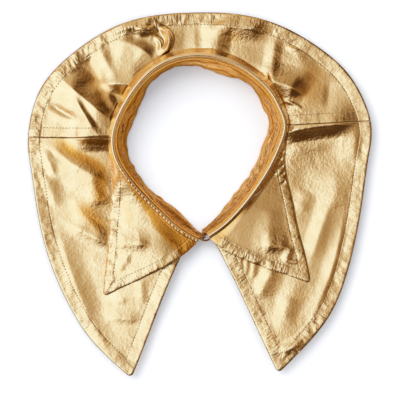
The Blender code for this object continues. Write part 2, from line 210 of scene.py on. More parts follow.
LEAF_FOLDS = [
    Fold("left_leaf_cross", -65.2, -35.4, -35.2, -36.9, 0.0, 13.5, 9.0, 2.0, 1.5),
    Fold("left_leaf_fold", -51.0, -42.9, -61.5, -58.7, 0.0, 5.2, 6.0, 0.7, 0.8),
    Fold("left_leaf_side", -56.2, -0.9, -53.2, -23.4, 0.0, 7.5, 7.5, 0.35, 3.0),
    Fold("right_leaf_bright", 54.8, -8.4, 48.8, -45.9, 0.0, 10.5, 11.2, 0.7, 3.0),
    Fold("right_leaf_dark", 45.8, -37.7, 68.2, -39.2, 0.0, 15.0, 8.2, 1.6, 0.8),
    Fold("right_leaf_spot", 69.8, -38.4, 63.0, -51.2, 0.0, 3.8, 5.2, 1.2, 1.0),
    Fold("right_leaf_low", 63.8, -48.9, 75.8, -50.4, 0.0, 2.2, 3.0, 0.9, 0.8),
    Fold("right_leaf_pucker_one", 57.0, 24.6, 63.0, 27.6, 0.0, 1.5, 1.9, -1.0, 0.3),
    Fold("right_leaf_pucker_two", 57.8, 19.3, 63.8, 22.3, 0.0, 1.5, 1.9, -1.0, 0.3),
    Fold("right_leaf_pucker_three", 51.8, 13.3, 58.5, 16.3, 0.0, 1.5, 1.9, -0.9, 0.3),
    Fold("right_leaf_pucker_four", 59.2, 14.1, 64.5, 17.1, 0.0, 1.5, 1.9, -0.9, 0.3),
    Fold("right_leaf_pucker_five", 60.0, 7.3, 65.2, 10.3, 0.0, 1.5, 1.9, -0.8, 0.3),
    Fold("right_leaf_pucker_six", 58.5, 29.8, 63.8, 32.8, 0.0, 1.5, 1.9, -0.8, 0.3),
]

# Painted shade on the leaf, in the same way: a height below nought deepens the colour there.
LEAF_PAINTED_SHADE = [
    Fold("left_leaf_shade", -59.2, 3.6, -48.8, -26.4, 0.0, 4.5, 6.0, -0.2, 4.0),
]
# Painted shade: beside the roll, where the leaf falls steeply, it takes a deeper colour this far out, at distances
# from each end.
ShadeReach = namedtuple("ShadeReach", "distance left right")
SHADE_BESIDE_ROLL = [ShadeReach(0.0, 15.0, 9.0), ShadeReach(18.0, 12.0, 4.0), ShadeReach(48.0, 5.0, 2.5), ShadeReach(66.0, 2.0, 2.5),
             ShadeReach(86.0, 0.0, 0.0)]

# The wires, as the solids have them.
WIRE = 1.5
EYE_ROUTE = [(5.5, -29.4, 9.6), (3.7, -28.7, 10.2), (2.1, -29.6, 10.2), (1.6, -31.4, 10.2),
             (2.6, -33.2, 10.2), (5.0, -34.1, 10.0), (7.9, -33.1, 9.6)]
HOOK_ROUTE = [(0.4, -32.8, 8.6), (2.0, -32.5, 8.3), (3.6, -32.0, 8.6), (4.4, -31.7, 10.2),
              (3.6, -31.5, 11.9), (1.4, -31.6, 12.2), (0.4, -31.9, 12.2)]

# Picture and light. The photograph looks straight down.
PIXEL = 0.75  # millimetres of table a pixel
VIEW_CENTRE = (0.75, -3.9)
VIEW_PIXELS = 400
CAMERA_HIGH = 1500.0
SENSOR = 36.0


# Curves round the neck

def natural_spline(knots, values):
    """A smooth curve through values at knots, for an array of distances round the neck."""
    count = len(knots)
    h = np.diff(knots)
    matrix = np.eye(count)
    right = np.zeros(count)
    for i in range(1, count - 1):
        matrix[i, i - 1:i + 2] = h[i - 1], 2 * (h[i - 1] + h[i]), h[i]
        right[i] = 6 * ((values[i + 1] - values[i]) / h[i] - (values[i] - values[i - 1]) / h[i - 1])
    bend = np.linalg.solve(matrix, right)

    def at(distance):
        i = np.clip(np.searchsorted(knots, distance) - 1, 0, count - 2)
        a = (knots[i + 1] - distance) / h[i]
        b = 1 - a
        curve = ((a ** 3 - a) * bend[i] + (b ** 3 - b) * bend[i + 1]) * h[i] ** 2 / 6
        return a * values[i] + b * values[i + 1] + curve

    return at


ROLL_POINTS = np.array([(s.roll_x, s.roll_y) for s in SECTIONS])
ROUND = np.concatenate([[0.0], np.cumsum(np.linalg.norm(np.diff(ROLL_POINTS, axis=0), axis=1))])
LENGTH = ROUND[-1]
ALONG = {s.name: d for s, d in zip(SECTIONS, ROUND)}
LEFT_SEAM = ALONG["left_shoulder"]
RIGHT_SEAM = ALONG["right_shoulder"]
CURVES = {
    column: natural_spline(ROUND, np.array([getattr(s, column) for s in SECTIONS]))
    for column in Section._fields[1:]
}


def plan(line, distance):
    """Plan points of a line (neck, roll, leaf or rim) at distances round the neck."""
    return np.stack([CURVES[line + "_x"](distance), CURVES[line + "_y"](distance)], axis=-1)


def unit(vectors):
    return vectors / np.maximum(np.linalg.norm(vectors, axis=-1, keepdims=True), 1e-9)


def outward(distance):
    """Plan directions away from the neck, square to the roll."""
    step = 0.5
    along = plan("roll", np.minimum(distance + step, LENGTH)) - plan("roll", np.maximum(distance - step, 0.0))
    along = unit(along)
    return np.stack([-along[..., 1], along[..., 0]], axis=-1)


def smooth_step(share):
    share = np.clip(share, 0.0, 1.0)
    return share * share * (3 - 2 * share)


def ease_out(share):
    return smooth_step(share / 2 + 0.5) * 2 - 1


def bowed(start, end, share, bows, distance):
    """Points on lines from start to end, bowed sideways near the closure."""
    point = start + (end - start) * share[:, None]
    side = np.where(distance < LENGTH / 2, bows["left"], bows["right"])
    amount = side * (1 - smooth_step(np.minimum(distance, LENGTH - distance) / BOW_FADE))
    across = unit(np.stack([-(end - start)[:, 1], (end - start)[:, 0]], axis=-1))
    return point + across * (amount * 27 / 4 * share * (1 - share) ** 2)[:, None]


def wavering(seed, spacing, length):
    """An uneven wave along a line: a random height every spacing, joined smoothly."""
    heights = np.random.default_rng(seed).uniform(-1.0, 1.0, int(length / spacing) + 8)

    def at(distance):
        place = np.clip(distance / spacing, 0.0, len(heights) - 2.001)
        i = place.astype(int)
        return heights[i] + (heights[i + 1] - heights[i]) * smooth_step(place - i)

    return at


def lattice_noise(seed, points, cell):
    """Smooth uneven heights from -1 to 1 over the plan, one for each cell of that size."""
    table = np.random.default_rng(seed).uniform(-1.0, 1.0, (64, 64))
    place = points / cell + 1000.0
    i = np.floor(place).astype(int)
    f = smooth_step(place - i)
    x0, y0 = i[:, 0] % 64, i[:, 1] % 64
    x1, y1 = (x0 + 1) % 64, (y0 + 1) % 64
    low = table[x0, y0] * (1 - f[:, 0]) + table[x1, y0] * f[:, 0]
    high = table[x0, y1] * (1 - f[:, 0]) + table[x1, y1] * f[:, 0]
    return low * (1 - f[:, 1]) + high * f[:, 1]


def to_path(points, path, reach=14.0):
    """For plan points: how far from a path, how far along it, and on which side (left is positive).
    Points farther than reach count as being that far."""
    best = np.full(len(points), reach)
    along = np.zeros(len(points))
    side = np.ones(len(points))
    steps = np.diff(path, axis=0)
    longs = np.linalg.norm(steps, axis=1)
    runs = np.concatenate([[0.0], np.cumsum(longs)])
    for first in range(0, len(steps), 10):
        part = path[first:first + 11]
        near = np.flatnonzero(np.all((points > part.min(0) - reach) & (points < part.max(0) + reach), axis=1))
        if not len(near):
            continue
        some = points[near]
        for k in range(first, min(first + 10, len(steps))):
            if longs[k] < 1e-6:
                continue
            share = np.clip((some - path[k]) @ steps[k] / longs[k] ** 2, 0.0, 1.0)
            gap = some - path[k] - share[:, None] * steps[k]
            away = np.linalg.norm(gap, axis=1)
            closer = away < best[near]
            at = near[closer]
            best[at] = away[closer]
            along[at] = runs[k] + share[closer] * longs[k]
            side[at] = np.sign(steps[k][0] * gap[closer, 1] - steps[k][1] * gap[closer, 0] + 1e-12)
    return best, along, side


def fold_path(fold):
    """The fold's line: from its start to its end, bowed."""
    start, end = np.array([fold.x1, fold.y1]), np.array([fold.x2, fold.y2])
    left = unit(np.array([-(end - start)[1], (end - start)[0]]))
    share = np.linspace(0.0, 1.0, 13)[:, None]
    return start + (end - start) * share + left * fold.bow * 4 * share * (1 - share)


def fold_heights(folds, points):
    """The lift that a table of folds gives at plan points."""
    lift = np.zeros(len(points))
    for fold in folds:
        path = fold_path(fold)
        reach = max(fold.left, fold.right)
        near = np.all((points > path.min(0) - reach) & (points < path.max(0) + reach), axis=1)
        if not near.any():
            continue
        away, along, side = to_path(points[near], path, reach)
        width = np.where(side > 0, fold.left, fold.right)
        long = np.linalg.norm(np.diff(path, axis=0), axis=1).sum()
        ends = smooth_step(along / (0.35 * long)) * smooth_step((long - along) / (0.35 * long))
        crest = fold.crest / width
        down = (np.sqrt((away / width) ** 2 + crest ** 2) - crest) / (np.sqrt(1 + crest ** 2) - crest)
        lift[near] += fold.height * np.clip(1 - down, 0.0, 1.0) ** 1.5 * (0.12 + 0.88 * ends)
    return lift


# Edges and rows of stitches, as plan paths

def panel_edge(distance):
    """Where a panel starts, outside the stand's foot."""
    return plan("neck", distance) + outward(distance) * (WALL + SEAM_GAP)


def leaf_start(distance):
    """Where the leaf starts to fall, outside the roll."""
    return plan("roll", distance) + outward(distance) * ROLL_TURN[-1].aside


def panel_cut(distance, count=120):
    """A panel's plan line from the neck to the rim at one distance round the neck."""
    here = np.full(count, distance)
    return bowed(panel_edge(here), plan("rim", here), np.linspace(0.0, 1.0, count), FRONT_BOW, here)


def leaf_cut(distance, count=100):
    here = np.full(count, distance)
    return bowed(leaf_start(here), plan("leaf", here), np.linspace(0.0, 1.0, count), LEAF_BOW, here)


def outline(first_cut, line, last_cut):
    """The whole outer edge: down the left front, round the collar and back up the right front."""
    return np.concatenate([first_cut, plan(line, np.linspace(0.0, LENGTH, 520))[1:], last_cut[::-1][1:]])


def round_corner(points, edge, at, radius):
    """Turns the sharp corner of an edge, at that point of it, into an arc. Points inside follow."""
    corner = edge[at]
    one, other = unit(edge[at - 6] - corner), unit(edge[at + 6] - corner)
    middle = unit(one + other)
    centre = corner + middle * radius / np.sqrt((1 - one @ other) / 2)
    out_one = unit(-(middle - one * (middle @ one)))
    out_other = unit(-(middle - other * (middle @ other)))
    v = points - centre
    toward = np.maximum(v @ out_one, v @ out_other)
    long = np.maximum(np.linalg.norm(v, axis=1), 1e-6)
    between = (v @ -middle) > long * (out_one @ -middle)
    near = np.linalg.norm(points - corner, axis=1) < 4 * radius
    share = np.where(between & near & (toward > 0), toward / long, 1.0)
    return centre + v * share[:, None]


def with_round_tips(points, edge, first, last, radius):
    for at in (first, last):
        points = round_corner(points, edge, at, radius)
    return points


PANEL_SHARP = outline(panel_cut(0.0), "rim", panel_cut(LENGTH))
PANEL_TIPS = (119, len(PANEL_SHARP) - 120)
PANEL_OUTLINE = with_round_tips(PANEL_SHARP, PANEL_SHARP, *PANEL_TIPS, PANEL_TIP)
LEAF_SHARP = outline(leaf_cut(0.0), "leaf", leaf_cut(LENGTH))
LEAF_TIPS = (99, len(LEAF_SHARP) - 100)
LEAF_OUTLINE = with_round_tips(LEAF_SHARP, LEAF_SHARP, *LEAF_TIPS, LEAF_TIP)
LEFT_SEAM_LINE = panel_cut(LEFT_SEAM)
RIGHT_SEAM_LINE = panel_cut(RIGHT_SEAM)


def moved_in(path, amount, whole=None):
    """A path moved to its right by amount, without the part that comes nearer than that to the whole."""
    along = unit(np.gradient(path, axis=0))
    right = np.stack([along[:, 1], -along[:, 0]], axis=-1)
    moved = path + right * amount
    if whole is not None:
        away, _, _ = to_path(moved, whole)
        moved = moved[away > abs(amount) - 0.15]
    return moved


LEFT_SEAM_ROW = moved_in(LEFT_SEAM_LINE, SEAM_STITCH)[30:-12]
RIGHT_SEAM_ROW = moved_in(RIGHT_SEAM_LINE, -SEAM_STITCH)[30:-12]

# How hard the stitching draws the band outside it into puckers, at places round the edge.
Draw = namedtuple("Draw", "x y strength")
PANEL_DRAWS = [
    Draw(-52.0, -128.0, 0.35), Draw(-90.0, -92.0, 0.45), Draw(-110.0, -50.0, 0.55), Draw(-122.0, 5.0, 0.65),
    Draw(-125.0, 55.0, 1.0), Draw(-104.0, 97.0, 1.3), Draw(-62.0, 124.0, 1.1), Draw(-5.0, 136.0, 0.8),
    Draw(45.0, 131.0, 0.55), Draw(95.0, 103.0, 0.4), Draw(127.0, 58.0, 0.3), Draw(122.0, 0.0, 0.4),
    Draw(104.0, -75.0, 0.5), Draw(72.0, -120.0, 1.0), Draw(58.0, -132.0, 0.8), Draw(38.0, -88.0, 0.6),
    Draw(18.0, -50.0, 0.9), Draw(-35.0, -100.0, 0.35), Draw(-22.0, -62.0, 0.4),
]
LEAF_DRAWS = [
    Draw(-67.0, 10.0, 0.6), Draw(-66.0, -30.0, 0.9), Draw(-71.0, -66.0, 1.0), Draw(-45.0, -60.0, 0.5),
    Draw(-12.0, -42.0, 0.4), Draw(66.0, 20.0, 0.5), Draw(70.0, -8.0, 0.45), Draw(76.0, -35.0, 0.5),
    Draw(82.0, -62.0, 0.5), Draw(50.0, -52.0, 0.9), Draw(26.0, -42.0, 1.1),
]
CRINKLES = [
    Draw(-118.0, 55.0, 0.5), Draw(-96.0, 70.0, 0.25), Draw(-82.0, 92.0, 0.45), Draw(-63.0, 66.0, 0.4),
    Draw(-55.0, 100.0, 0.4), Draw(-50.0, 115.0, 0.2), Draw(-10.0, 120.0, 0.35), Draw(25.0, 118.0, 0.7),
    Draw(42.0, 105.0, 0.3), Draw(64.0, 100.0, 0.8), Draw(66.0, 64.0, 1.0), Draw(76.0, 84.0, 0.1), Draw(84.0, 78.0, 0.25), Draw(112.0, 70.0, 0.3),
    Draw(80.0, 35.0, 0.8), Draw(112.0, 30.0, 0.5), Draw(95.0, 5.0, 0.5), Draw(90.0, -30.0, 0.2),
    Draw(62.0, -80.0, 0.5), Draw(72.0, -110.0, 0.5), Draw(-75.0, 32.0, 0.35), Draw(-108.0, 20.0, 0.3),
    Draw(-76.0, -5.0, 0.8), Draw(-104.0, -15.0, 0.2), Draw(-92.0, -22.0, 0.6), Draw(-95.0, -60.0, 0.3),
    Draw(-62.0, -60.0, 0.4), Draw(-60.0, -105.0, 0.5),
]
LEAF_CRINKLES = [
    Draw(-50.0, -45.0, 0.8), Draw(-45.0, -10.0, 0.5), Draw(-30.0, -30.0, 0.3), Draw(-60.0, -60.0, 0.7),
    Draw(60.0, 10.0, 0.6), Draw(50.0, -10.0, 0.15), Draw(35.0, -30.0, 0.2), Draw(58.0, -42.0, 0.8),
    Draw(78.0, -60.0, 0.6),
]
# How far the laid leather stands off the table, at places.
LIFTS = [
    Draw(-128.0, 40.0, 0.0), Draw(-60.0, 125.0, 0.0), Draw(0.0, 136.0, 0.2), Draw(75.0, 118.0, 1.2),
    Draw(127.0, 55.0, 4.1), Draw(124.0, 0.0, 4.0), Draw(104.0, -75.0, 4.6), Draw(60.0, -132.0, 4.6),
    Draw(30.0, -75.0, 2.2), Draw(-90.0, -92.0, 0.2), Draw(-51.0, -136.0, 4.6), Draw(-20.0, -60.0, 4.4),
    Draw(-75.0, 0.0, 0.4), Draw(75.0, 20.0, 1.3), Draw(50.0, -30.0, 1.4), Draw(0.0, -30.0, 0.3),
]
# How far the puckered band curls up at its edge.
CURLS = [
    Draw(-52.0, -128.0, 0.5), Draw(-90.0, -92.0, 0.9), Draw(-112.0, -45.0, 0.5), Draw(-122.0, 5.0, 0.5),
    Draw(-125.0, 55.0, 0.1), Draw(-90.0, 108.0, 0.0), Draw(0.0, 136.0, 0.1), Draw(95.0, 103.0, 0.7),
    Draw(127.0, 55.0, 0.9), Draw(120.0, -20.0, 0.9), Draw(90.0, -100.0, 0.7), Draw(45.0, -105.0, 0.1),
    Draw(18.0, -50.0, 0.1), Draw(-40.0, -115.0, 1.3), Draw(-28.0, -80.0, 1.3), Draw(-15.0, -50.0, 1.0),
]
# How far the leaf stays off the panels, beyond that.
LEAF_LIFTS = [
    Draw(-66.0, 30.0, 9.4), Draw(-65.0, 5.0, 4.4), Draw(-66.5, -16.0, 1.2), Draw(-70.0, -50.0, 0.3),
    Draw(-40.0, -45.0, 0.2), Draw(-12.0, -38.0, -1.0), Draw(-48.0, 2.0, 3.0), Draw(-30.0, -18.0, 0.5),
    Draw(30.0, -35.0, 0.0), Draw(66.0, 10.0, 0.5), Draw(80.0, -60.0, 0.3), Draw(0.0, 110.0, 0.5),
    Draw(65.0, 52.0, 1.0), Draw(50.0, -25.0, 0.3),
]
# Painted light on the stand's foil, at places: below nought it takes a painted-shade colour, above it a paler
# painted highlight.
STAND_PAINTED_LIGHT = [
    Draw(-55.0, 20.0, -0.85), Draw(-54.0, 45.0, -0.85), Draw(-45.0, 70.0, -0.9), Draw(-25.0, 92.0, -0.75),
    Draw(10.0, 92.0, 0.0), Draw(38.0, 80.0, -0.45), Draw(50.0, 55.0, -0.1), Draw(45.0, 30.0, 0.1),
    Draw(25.0, 0.0, 0.1), Draw(6.0, -26.0, -0.4), Draw(-25.0, -5.0, -0.45), Draw(-6.0, -24.0, -0.35),
]
pucker_wide = wavering(11, 4.6, 1800.0)
pucker_fine = wavering(12, 2.6, 3600.0)


def drawn(points, draws):
    """How strong something is at plan points, from the places listed."""
    weights = np.array([1 / (np.sum((points - (d.x, d.y)) ** 2, axis=1) + 60.0) ** 1.5 for d in draws])
    return np.array([d.strength for d in draws]) @ weights / weights.sum(axis=0)


def edge_relief(away, along, strength, row_in, turn):
    """A puckered band between the row of stitches and the turned edge."""
    band = np.sin(np.pi * np.clip(away / row_in, 0.0, 1.0)) ** 0.7
    slant = along + 0.5 * away
    puckers = (0.26 * pucker_wide(slant) + 0.16 * pucker_fine(slant + 60.0)) * strength + 0.18
    edge_wave = 0.12 * pucker_wide(along + 900.0) * (away < row_in)
    rounding = EDGE_DROP * np.clip(1 - away / turn, 0.0, 1.0) ** 2
    return puckers * band + edge_wave - rounding


def draw_fade(away, row_in):
    """Full between the edge and the row of stitches, and dying away inside it."""
    return smooth_step(away / 1.5) * np.clip(1 - (away - row_in) / 3.5, 0.0, 1.0) ** 2 * 1.0


def seam_relief(away, signed, along):
    """A shoulder seam: sunk along the seam, with upright puckers between it and its row of stitches."""
    strip = np.sin(np.pi * np.clip(signed / SEAM_STITCH, 0.0, 1.0))
    bars = 0.1 * pucker_wide(along + 500.0) + 0.07 * pucker_fine(along + 700.0)
    return strip * (0.15 + bars) - 0.3 * np.exp(-(away / 0.5) ** 2)


def crinkled(points, strength):
    """The leather's own crinkles: creases round small flats, and finer ones that lie across."""
    bent = points + 2.5 * np.column_stack([lattice_noise(41, points, 9.0), lattice_noise(42, points, 9.0)])
    creases = 0.5 - np.abs(lattice_noise(5, bent, 8.0))
    lying = 0.5 - np.abs(lattice_noise(7, bent * np.array([0.45, 1.0]), 4.2))
    return (0.26 * creases + 0.14 * lying) * strength


def panel_top(points, share):
    """Heights of the panels' upper face at plan points, and what their finish needs to know there.
    share is how far each point lies from the neck."""
    folds = fold_heights(PANEL_FOLDS, points) * smooth_step(share / 0.06)
    wave = 0.7 * lattice_noise(3, points, 34.0) + 0.25 * lattice_noise(4, points, 15.0)
    sides = SIDE_RISE * (1 - smooth_step(share)) * np.abs(points[:, 0]) / 128.0
    loft = np.maximum(folds + (wave + 0.6) * smooth_step(share / 0.25) + sides, -1.1)
    away, along, _ = to_path(points, PANEL_OUTLINE)
    strength = drawn(points, PANEL_DRAWS)
    relief = edge_relief(away, along, strength, RIM_STITCH, EDGE_ROUND)
    relief = relief + drawn(points, CURLS) * np.clip(1 - away / RIM_STITCH, 0.0, 1.0) ** 1.3
    draw = strength * draw_fade(away, RIM_STITCH)
    row = np.abs(away - RIM_STITCH)
    for seam, side_of_row in ((LEFT_SEAM_LINE, -1.0), (RIGHT_SEAM_LINE, 1.0)):
        gap, on, side = to_path(points, seam)
        signed = gap * side * side_of_row
        relief = relief + seam_relief(gap, signed, on)
        here = (signed > 0) & (signed < SEAM_STITCH + 3) & (away > RIM_STITCH)
        along = np.where(here, on, along)
        away = np.where(here, signed, away)
        draw = np.where(here, 0.25 * draw_fade(signed, SEAM_STITCH), draw)
        row = np.minimum(row, np.abs(signed - SEAM_STITCH) + 99.0 * (on < 14.0))
    crinkle = drawn(points, CRINKLES)
    loft = loft + drawn(points, LIFTS) * smooth_step(share / 0.3)
    height = PANEL_TOP + loft + crinkled(points, crinkle) * smooth_step(share / 0.1) + relief
    # The sixth column is the painted shade that PANEL_PAINTED_SHADE gives.
    return np.column_stack([height, along, away, draw, row, fold_heights(PANEL_PAINTED_SHADE, points), crinkle])


def leaf_rest(points):
    """How high the leaf lies where it has come down, and the lowest it may lie there. Only the panels' broad
    form shows through."""
    folds = fold_heights(PANEL_FOLDS, points)
    wave = 0.7 * lattice_noise(3, points, 34.0) + 1.2 + drawn(points, LIFTS)
    lowest = PANEL_TOP + np.maximum(folds, 0.0) * 0.65 + wave + LEAF_UP
    lifts = drawn(points, LEAF_LIFTS)
    return lowest + lifts, lowest + np.minimum(lifts, 0.0)


# Meshes

def crowded(count, length, near_start, near_end):
    """Shares from 0 to 1, with close steps beside an edge that is turned."""
    close = np.array([0.08, 0.22, 0.42, 0.7, 1.0]) * EDGE_ROUND / length
    inner = np.linspace(close[-1] if near_start else 0.0, 1 - close[-1] if near_end else 1.0, count)
    parts = [np.concatenate([[0.0], close[:-1]])] if near_start else []
    parts.append(inner)
    if near_end:
        parts.append(1 - np.concatenate([[0.0], close[:-1]])[::-1])
    return np.concatenate(parts)


def cloth(name, columns, rows, place, offset, finish, node):
    """A piece of leather: a grid with its points moved to place, then given its thickness. With each
    point go two marks for the finish: edge (how far along and in from the edge, how hard drawn) and
    row_light_crinkle (how far from a row of stitches, the painted light there, highlight above nought and
    shade below, how crinkled)."""
    mesh = bpy.data.meshes.new(name)
    bm = bmesh.new()
    bmesh.ops.create_grid(bm, x_segments=len(columns) - 1, y_segments=len(rows) - 1, size=1.0)
    bm.to_mesh(mesh)
    bm.free()
    co = np.empty(len(mesh.vertices) * 3)
    mesh.vertices.foreach_get("co", co)
    co = co.reshape(-1, 3)
    i = np.rint((co[:, 0] + 1) / 2 * (len(columns) - 1)).astype(int)
    j = np.rint((co[:, 1] + 1) / 2 * (len(rows) - 1)).astype(int)
    placed = place(np.asarray(columns)[i], np.asarray(rows)[j])
    mesh.vertices.foreach_set("co", (placed[:, :3] * MM).ravel())
    for what, values in (("edge", placed[:, 3:6]), ("row_light_crinkle", placed[:, 6:9])):
        mesh.attributes.new(what, "FLOAT_VECTOR", "POINT").data.foreach_set("vector", values.ravel())
    mesh.update()
    mesh.shade_smooth()
    mesh.materials.append(finish)
    piece = bpy.data.objects.new(name, mesh)
    bpy.context.scene.collection.objects.link(piece)
    wall = piece.modifiers.new("wall", "SOLIDIFY")
    wall.thickness = SKIN * MM
    wall.offset = offset
    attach(piece, "root")
    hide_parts(node)
    return piece


def panel(name, start, end, columns, rows, finish):
    """A front or the yoke, between two places round the neck."""
    def place(column, row):
        distance = start + (end - start) * column
        point = bowed(panel_edge(distance), plan("rim", distance), row, FRONT_BOW, distance)
        point = with_round_tips(point, PANEL_SHARP, *PANEL_TIPS, PANEL_TIP)
        return np.column_stack([point, panel_top(point, row)])

    across = crowded(columns, (end - start) * 1.6, True, True)
    down = crowded(rows, 62.0, False, True)
    piece = cloth(name + "_leather", across, down, place, -1.0, finish, name)
    return piece


def neck_stand(finish):
    """The stand's wall: long slack ripples lie along it, short ones cross it, and its foot wanders."""
    slack = wavering(21, 17.0, 700.0)
    wrinkle = wavering(22, 6.5, 700.0)
    ripple = wavering(23, 2.6, 700.0)
    foot_wave = wavering(24, 6.0, 700.0)

    def place(column, row):
        distance = -STAND_REACH + (LENGTH + 2 * STAND_REACH) * column
        past = distance - np.clip(distance, 0.0, LENGTH)
        distance = np.clip(distance, 0.0, LENGTH)
        away = outward(distance)
        ahead = np.column_stack([away[:, 1], -away[:, 0]])
        foot = plan("neck", distance) + away * WALL / 2
        head = plan("roll", distance) - away * (ROLL_HALF + WALL / 2)
        top = CURVES["roll_z"](distance) - ROLL_DROP - SEAM_GAP + 1.2
        lean = np.interp(row, [0.0, 0.1, 0.94, 1.0], [0.0, 0.0, 1.0, 1.0])
        belly = np.sin(np.pi * row) ** 0.8
        waves = 0.75 * np.sin(2 * np.pi * (1.75 * row + 0.3 * slack(distance)))
        waves = (waves + 0.4 * wrinkle(distance + 9 * row) + 0.12 * ripple(distance - 6 * row)) * belly
        waves = waves + 0.7 * foot_wave(distance) * (1 - row) ** 2
        point = foot + (head - foot) * lean[:, None] + away * waves[:, None] + ahead * past[:, None]
        ones = np.ones(len(row))
        # Painted light from STAND_PAINTED_LIGHT, and painted shade darkening the stand just under the roll.
        tone = drawn(point[:, :2], STAND_PAINTED_LIGHT) - 0.7 * smooth_step((row - 0.8) / 0.15)
        return np.column_stack([point, row * top, distance, 9.0 + row * 14.0, ones, 99.0 * ones, tone, ones])

    piece = cloth("stand_leather", np.linspace(0, 1, 620), np.linspace(0, 1, 42), place, 0.0, finish,
                  "neck_stand")
    return piece


def collar_leaf(finish):
    """The leaf: a corded edge over the stand, then the fall, then the pointed ends on the fronts."""
    drape = wavering(32, 9.0, 700.0)
    uneven = wavering(33, 5.0, 900.0)
    turns = np.linspace(0.0, 1.0, len(ROLL_TURN))
    aside_at = natural_spline(turns, np.array([t.aside for t in ROLL_TURN]))
    drop_at = natural_spline(turns, np.array([t.drop for t in ROLL_TURN]))

    def place(column, row):
        distance = LENGTH * column
        away = outward(distance)
        roll = plan("roll", distance)
        top = CURVES["roll_z"](distance)
        turn = np.clip(row / ROLL_ROWS, 0.0, 1.0)
        aside, drop = aside_at(turn), drop_at(turn)
        start = leaf_start(distance)
        share = np.clip((row - ROLL_ROWS) / (1 - ROLL_ROWS), 0.0, 1.0)
        point = bowed(start, plan("leaf", distance), share, LEAF_BOW, distance)
        whole = np.linalg.norm(plan("leaf", distance) - start, axis=1)
        reach = np.interp(distance / LENGTH, np.linspace(0.0, 1.0, len(FALLS)), FALLS)
        down = np.clip(share * whole / np.minimum(whole, reach), 0.0, 1.0)
        down = 1 - (1 - down) ** 1.35
        steep = np.clip(1 - whole / 14.0, 0.0, 1.0) * np.sin(np.pi * share)
        point = point + away * (steep * 0.8 * drape(distance))[:, None]
        point = with_round_tips(point, LEAF_SHARP, *LEAF_TIPS, LEAF_TIP)
        rest, lowest = leaf_rest(point)
        rest = rest + LEAF_SLOPE * (1 - share) * np.clip(whole / 40.0, 0.0, 1.0)
        height = (top - ROLL_TURN[-1].drop) * (1 - down) + rest * down
        spread = smooth_step((whole - 9.0) / 8.0)
        details = fold_heights(LEAF_FOLDS, point) * smooth_step(share / 0.25)
        crinkle = drawn(point, LEAF_CRINKLES)
        details = details + crinkled(point + 40.0, crinkle) * smooth_step(share / 0.15)
        in_from_edge, along, _ = to_path(point, LEAF_OUTLINE)
        strength = drawn(point, LEAF_DRAWS)
        details = details + edge_relief(in_from_edge, along, strength, LEAF_STITCH, LEAF_ROUND) * spread
        height = np.maximum(height, lowest * (share > 0.5)) + details * smooth_step(share / 0.12)
        corded = smooth_step((LEFT_SEAM - 16.0 - distance) / 20.0)
        crown = np.clip(1.3 - np.abs(aside + 0.1) / 1.1, 0.0, 1.0) * (drop < 1.4)
        twist = np.sin(2 * np.pi * (distance / CORD_PITCH + 0.35 * aside + 0.5 * uneven(distance)))
        rolled = roll + away * aside[:, None]
        turned = row < ROLL_ROWS
        placed = np.where(turned[:, None], rolled, point)
        height = np.where(turned, top - drop + twist * CORD_DEEP * corded * crown, height)
        # Painted highlight along the roll's crest, weaker in the cord's grooves; painted shade on the roll's inner
        # side, toward the stand.
        painted_light = turned * crown * (1 - corded * (0.4 + 0.3 * (1 - twist))) - turned * smooth_step(-1.5 - aside)
        # Painted shade beside the roll where the leaf falls steeply, and more where LEAF_PAINTED_SHADE lists.
        ends = [d.distance for d in SHADE_BESIDE_ROLL]
        deep = np.where(column < 0.5, np.interp(distance, ends, [d.left for d in SHADE_BESIDE_ROLL]),
                        np.interp(LENGTH - distance, ends, [d.right for d in SHADE_BESIDE_ROLL]))
        painted_shade = smooth_step((deep - share * whole) / 2.5) * (deep > 0) * np.where(column < 0.5, 1.0, 0.6)
        painted_shade = painted_shade - fold_heights(LEAF_PAINTED_SHADE, point)
        painted_light = painted_light - painted_shade * ~turned
        draw = strength * draw_fade(in_from_edge, LEAF_STITCH) * spread * ~turned
        row_gap = np.where(turned | (spread < 0.4), 99.0, np.abs(in_from_edge - LEAF_STITCH))
        return np.column_stack([placed, height, along, in_from_edge + 2.0, draw, row_gap, painted_light, crinkle * ~turned])

    down = np.concatenate([np.linspace(0, ROLL_ROWS, 24)[:-1],
                           ROLL_ROWS + (1 - ROLL_ROWS) * crowded(68, 55.0, False, True)])
    across = crowded(490, LENGTH * 1.6, True, True)
    piece = cloth("leaf_leather", across, down, place, -1.0, finish,
                  "collar_leaf")
    return piece


# Stitches

def surface_of(piece):
    """A function that gives the height of a piece's upper face at plan points."""
    mesh = piece.data
    co = np.empty(len(mesh.vertices) * 3)
    mesh.vertices.foreach_get("co", co)
    quads = np.empty(len(mesh.polygons) * 4, dtype=np.int32)
    mesh.polygons.foreach_get("vertices", quads)
    tree = BVHTree.FromPolygons((co.reshape(-1, 3) / MM).tolist(), quads.reshape(-1, 4).tolist())

    def height(x, y):
        hit = tree.ray_cast(Vector((x, y, 100.0)), Vector((0.0, 0.0, -1.0)))[0]
        return None if hit is None else hit.z

    return height


